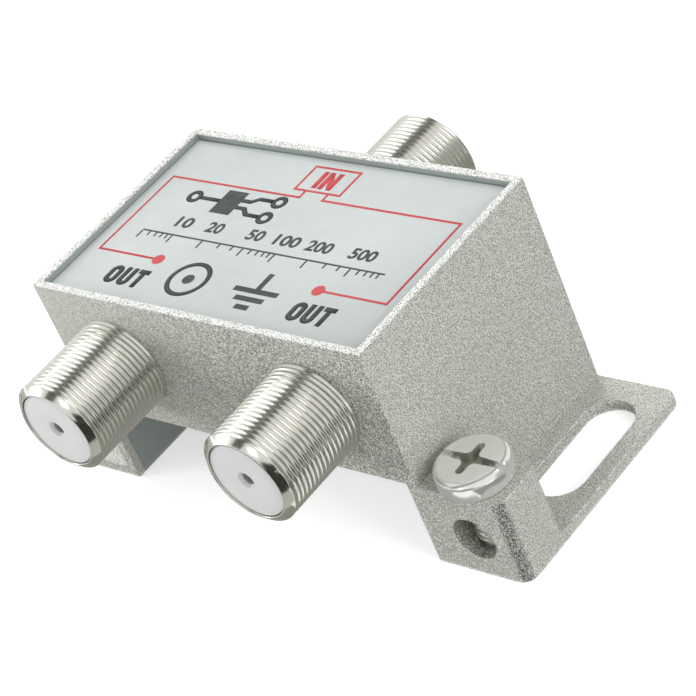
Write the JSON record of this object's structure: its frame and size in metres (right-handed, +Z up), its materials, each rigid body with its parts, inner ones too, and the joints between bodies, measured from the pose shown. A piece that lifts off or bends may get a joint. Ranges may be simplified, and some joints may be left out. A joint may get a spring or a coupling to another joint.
{
  "type": "coaxial splitter",
  "caption": "Coaxial signal splitter: a cast metal housing on slotted feet, with threaded ports, a printed label and an earth wire clamp screw.",
  "frame": {"origin": "on the mounting surface, under the middle of the housing", "axes": "+X along the front towards the clamp block, +Y from the outputs to the input, +Z up through the label"},
  "size_m": [0.0576, 0.0434, 0.0236],
  "materials": {
    "zinc_casting": "zinc die casting, finely sand-blasted",
    "printed_foil": "printed film label, smooth satin",
    "nickel_plate": "bright nickel plate on turned brass",
    "white_insulation": "moulded polyethylene, satin",
    "spring_bronze": "tinned spring bronze",
    "plated_steel": "bright zinc plate on steel",
    "board_laminate": "paper laminate, brown",
    "ferrite": "sintered ferrite, dark grey",
    "copper_wire": "enamelled copper wire",
    "capacitor_ceramic": "ceramic chip with tinned ends, tan",
    "resistor_ceramic": "ceramic chip with tinned ends, black",
    "cover_steel": "tinned sheet steel"
  },
  "bodies": {
    "base": {"housing": "zinc_casting", "label_foil": "printed_foil", "circuit_board": "board_laminate", "bottom_cover": "cover_steel", "matching_core": "ferrite", "matching_winding": "copper_wire", "dividing_core": "ferrite", "dividing_winding": "copper_wire", "input_capacitor": "capacitor_ceramic", "left_output_capacitor": "capacitor_ceramic", "right_output_capacitor": "capacitor_ceramic", "trimming_capacitor": "capacitor_ceramic", "isolation_resistor": "resistor_ceramic", "input_sleeve": "nickel_plate", "input_insulator": "white_insulation", "input_contact": "spring_bronze", "left_output_sleeve": "nickel_plate", "left_output_insulator": "white_insulation", "left_output_contact": "spring_bronze", "right_output_sleeve": "nickel_plate", "right_output_insulator": "white_insulation", "right_output_contact": "spring_bronze"},
    "earth_screw": {"clamp_screw": "plated_steel"}
  },
  "joints": [
    {"name": "earth_screw_travel", "type": "slide", "parent": "base", "child": "earth_screw", "axis": [0, 0, 1], "range_m": [0, 0.0042]}
  ]
}
